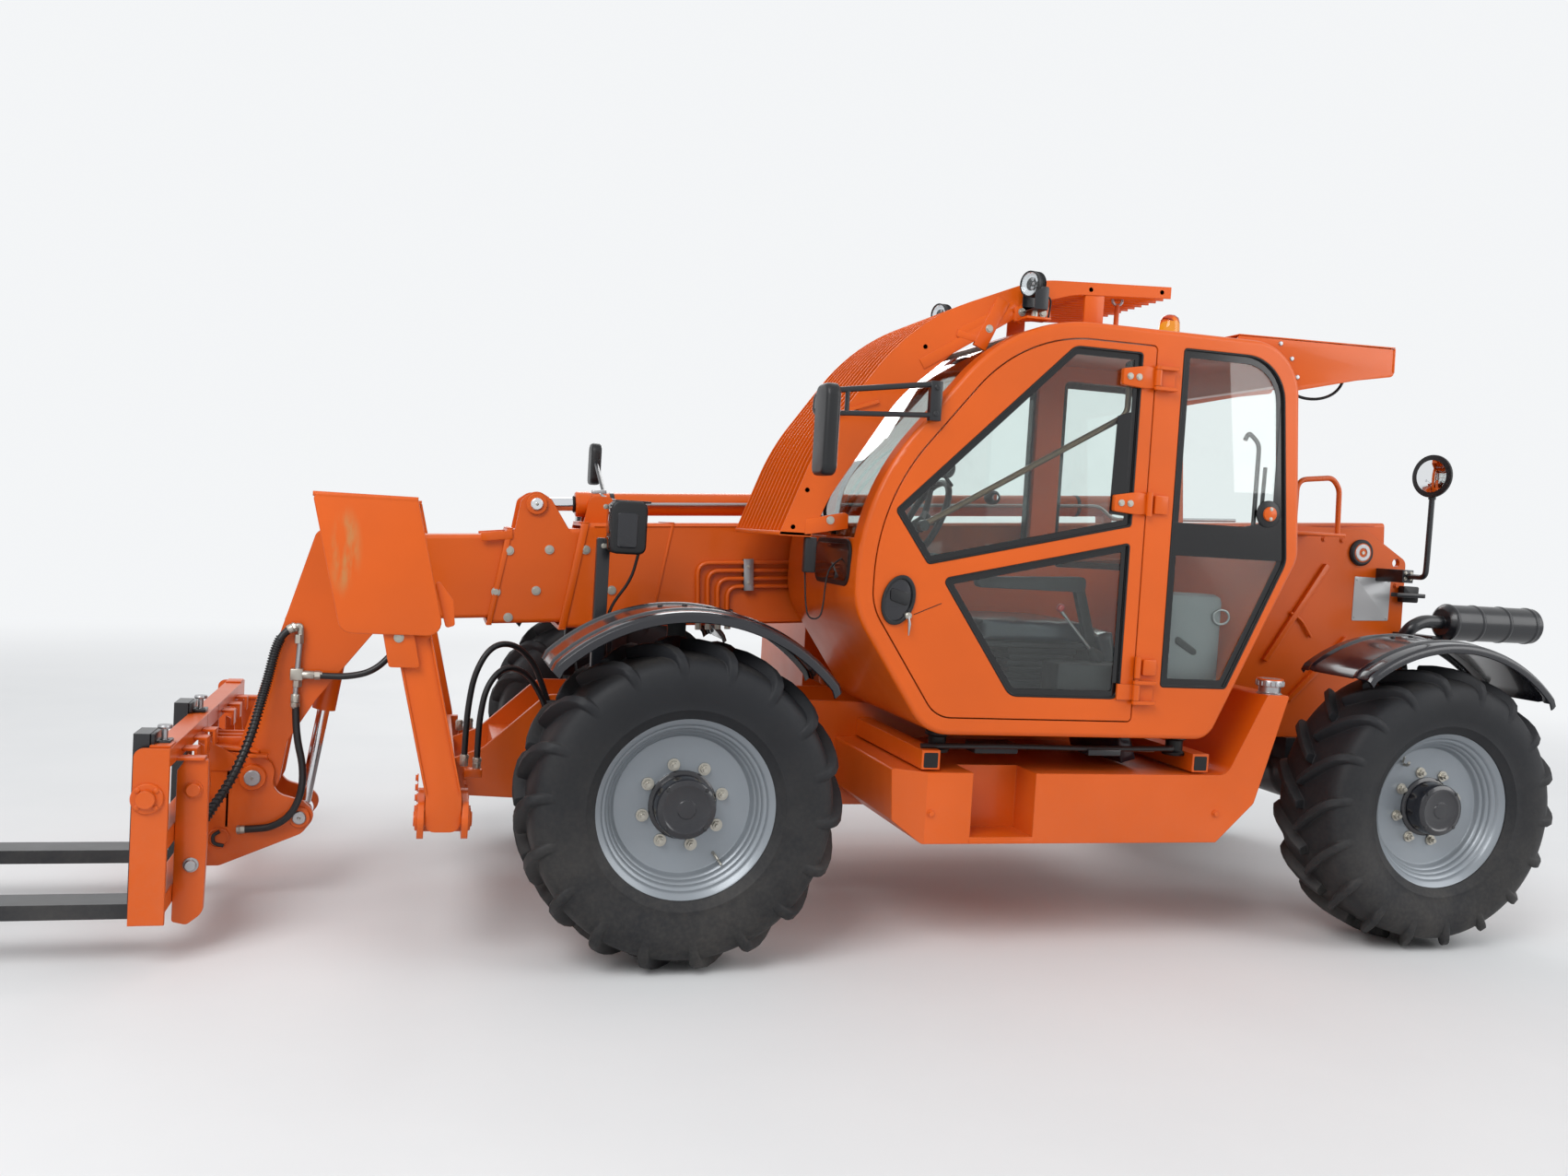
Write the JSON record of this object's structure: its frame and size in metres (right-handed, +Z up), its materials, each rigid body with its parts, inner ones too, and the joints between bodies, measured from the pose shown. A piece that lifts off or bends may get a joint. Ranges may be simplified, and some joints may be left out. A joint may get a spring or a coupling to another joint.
{
  "type": "telescopic handler",
  "caption": "telescopic handler with a slatted windscreen guard, raised side cab, telescoping boom, wide fork carriage and folding front stabilisers",
  "frame": {"origin": "on the ground under the middle of the bounding box", "axes": "+X towards the forks, +Y to the cab side, +Z up"},
  "size_m": [7.1263, 2.64, 2.5898],
  "materials": {
    "orange_paint": "gloss",
    "black_paint": "gloss",
    "grey_paint": "satin",
    "silver_rim": "satin",
    "bare_steel": "satin",
    "rod_chrome": "polished",
    "cast": "matte",
    "tyre_rubber": "matte",
    "black_plastic": "matte",
    "guard_plastic": "gloss",
    "seat_trim": "matte",
    "clear_glass": "clear"
  },
  "bodies": {
    "chassis": {"chassis_frame": "orange_paint", "frame_cross_members": "orange_paint", "nose_beam": "orange_paint", "engine_deck": "orange_paint", "front_axle": "black_paint", "rear_axle": "black_paint", "side_tanks": "orange_paint", "cab_shell": "orange_paint", "cab_glass": "clear_glass", "windscreen_guard": "orange_paint", "roof_visor": "orange_paint", "engine_block": "cast", "exhaust": "black_paint", "driver_seat": "seat_trim", "steering_console": "black_plastic", "lamps": "black_plastic", "mirrors": "black_plastic"},
    "cab_door": {"cab_door": "orange_paint", "door_glass": "clear_glass"},
    "engine_hood": {"engine_hood": "orange_paint"},
    "knuckle_front_left": {"knuckle_front_left": "black_paint", "mudguard_front_left": "guard_plastic"},
    "wheel_front_left": {"tyre_front_left": "tyre_rubber", "rim_front_left": "silver_rim"},
    "knuckle_front_right": {"knuckle_front_right": "black_paint", "mudguard_front_right": "guard_plastic"},
    "wheel_front_right": {"tyre_front_right": "tyre_rubber", "rim_front_right": "silver_rim"},
    "knuckle_rear_left": {"knuckle_rear_left": "black_paint", "mudguard_rear_left": "guard_plastic"},
    "wheel_rear_left": {"tyre_rear_left": "tyre_rubber", "rim_rear_left": "silver_rim"},
    "knuckle_rear_right": {"knuckle_rear_right": "black_paint", "mudguard_rear_right": "guard_plastic"},
    "wheel_rear_right": {"tyre_rear_right": "tyre_rubber", "rim_rear_right": "silver_rim"},
    "boom": {"boom_outer": "orange_paint", "extension_barrel": "orange_paint", "boom_pipes": "orange_paint"},
    "boom_middle": {"boom_middle": "orange_paint", "extension_rod": "rod_chrome"},
    "boom_inner": {"boom_inner": "orange_paint"},
    "lift_barrel": {"lift_barrel": "orange_paint"},
    "lift_rod": {"lift_rod": "rod_chrome"},
    "tilt_barrel": {"tilt_barrel": "orange_paint"},
    "tilt_rod": {"tilt_rod": "rod_chrome"},
    "carriage": {"fork_carriage": "orange_paint", "forks": "black_paint"},
    "stabiliser_left": {"stabiliser_left": "orange_paint"},
    "stabiliser_right": {"stabiliser_right": "orange_paint"}
  },
  "joints": [
    {"name": "steer_front_left", "type": "hinge", "parent": "chassis", "child": "knuckle_front_left", "pos_m": [0.56, 0.69, 0.585], "axis": [0, 0, 1], "range_deg": [-34, 34]},
    {"name": "wheel_spin_front_left", "type": "hinge", "parent": "knuckle_front_left", "child": "wheel_front_left", "pos_m": [0.56, 0.95, 0.585], "axis": [0, 1, 0], "continuous": true},
    {"name": "steer_front_right", "type": "hinge", "parent": "chassis", "child": "knuckle_front_right", "pos_m": [0.56, -0.69, 0.585], "axis": [0, 0, 1], "range_deg": [-34, 34]},
    {"name": "wheel_spin_front_right", "type": "hinge", "parent": "knuckle_front_right", "child": "wheel_front_right", "pos_m": [0.56, -0.95, 0.585], "axis": [0, 1, 0], "continuous": true},
    {"name": "steer_rear_left", "type": "hinge", "parent": "chassis", "child": "knuckle_rear_left", "pos_m": [-2.585, 0.69, 0.585], "axis": [0, 0, 1], "range_deg": [-34, 34]},
    {"name": "wheel_spin_rear_left", "type": "hinge", "parent": "knuckle_rear_left", "child": "wheel_rear_left", "pos_m": [-2.585, 0.95, 0.585], "axis": [0, 1, 0], "continuous": true},
    {"name": "steer_rear_right", "type": "hinge", "parent": "chassis", "child": "knuckle_rear_right", "pos_m": [-2.585, -0.69, 0.585], "axis": [0, 0, 1], "range_deg": [-34, 34]},
    {"name": "wheel_spin_rear_right", "type": "hinge", "parent": "knuckle_rear_right", "child": "wheel_rear_right", "pos_m": [-2.585, -0.95, 0.585], "axis": [0, 1, 0], "continuous": true},
    {"name": "boom_lift", "type": "hinge", "parent": "chassis", "child": "boom", "pos_m": [-2.785, 0, 1.628], "axis": [0, -1, 0], "range_deg": [0, 60]},
    {"name": "boom_extend", "type": "slide", "parent": "boom", "child": "boom_middle", "axis": [0.9982, 0, -0.0593], "range_m": [0, 1.1]},
    {"name": "boom_reach", "type": "slide", "parent": "boom_middle", "child": "boom_inner", "axis": [0.9982, 0, -0.0593], "range_m": [0, 1.1]},
    {"name": "carriage_tilt", "type": "hinge", "parent": "boom_inner", "child": "carriage", "pos_m": [2.077, 0, 0.496], "axis": [0, -1, 0], "range_deg": [-75, 18]},
    {"name": "lift_barrel_swing", "type": "hinge", "parent": "chassis", "child": "lift_barrel", "pos_m": [-2.29, 0, 0.7], "axis": [0, -1, 0], "range_deg": [-2, 62]},
    {"name": "lift_rod_slide", "type": "slide", "parent": "lift_barrel", "child": "lift_rod", "axis": [0.9806, 0, 0.1961], "range_m": [-0.02, 1.08]},
    {"name": "tilt_barrel_swing", "type": "hinge", "parent": "boom_inner", "child": "tilt_barrel", "pos_m": [1.772, 0, 1.18], "axis": [0, -1, 0], "range_deg": [-4, 4]},
    {"name": "tilt_rod_slide", "type": "slide", "parent": "tilt_barrel", "child": "tilt_rod", "axis": [0.1518, 0, -0.9884], "range_m": [-0.31, 0.08]},
    {"name": "stabiliser_swing_left", "type": "hinge", "parent": "chassis", "child": "stabiliser_left", "pos_m": [1.375, 0.96, 0.52], "axis": [-1, 0, 0], "range_deg": [0, 115]},
    {"name": "stabiliser_swing_right", "type": "hinge", "parent": "chassis", "child": "stabiliser_right", "pos_m": [1.375, -0.96, 0.52], "axis": [1, 0, 0], "range_deg": [0, 115]},
    {"name": "cab_door_hinge", "type": "hinge", "parent": "chassis", "child": "cab_door", "pos_m": [-1.13, 1.137, 1.62], "axis": [0, 0, 1], "range_deg": [0, 95]},
    {"name": "hood_hinge", "type": "hinge", "parent": "chassis", "child": "engine_hood", "pos_m": [-0.91, -0.29, 1.434], "axis": [-1, 0, 0], "range_deg": [0, 50]}
  ],
  "couplings": [
    {"joint": "steer_front_right", "follows": "steer_front_left", "ratio": 1},
    {"joint": "steer_rear_right", "follows": "steer_rear_left", "ratio": 1},
    {"joint": "boom_reach", "follows": "boom_extend", "ratio": 1},
    {"joint": "lift_barrel_swing", "follows": "boom_lift", "ratio": 0.9102},
    {"joint": "lift_rod_slide", "follows": "boom_lift", "m_per_rad": 0.9885},
    {"joint": "tilt_rod_slide", "follows": "carriage_tilt", "m_per_rad": 0.21},
    {"joint": "tilt_barrel_swing", "follows": "carriage_tilt", "ratio": 0.02}
  ]
}
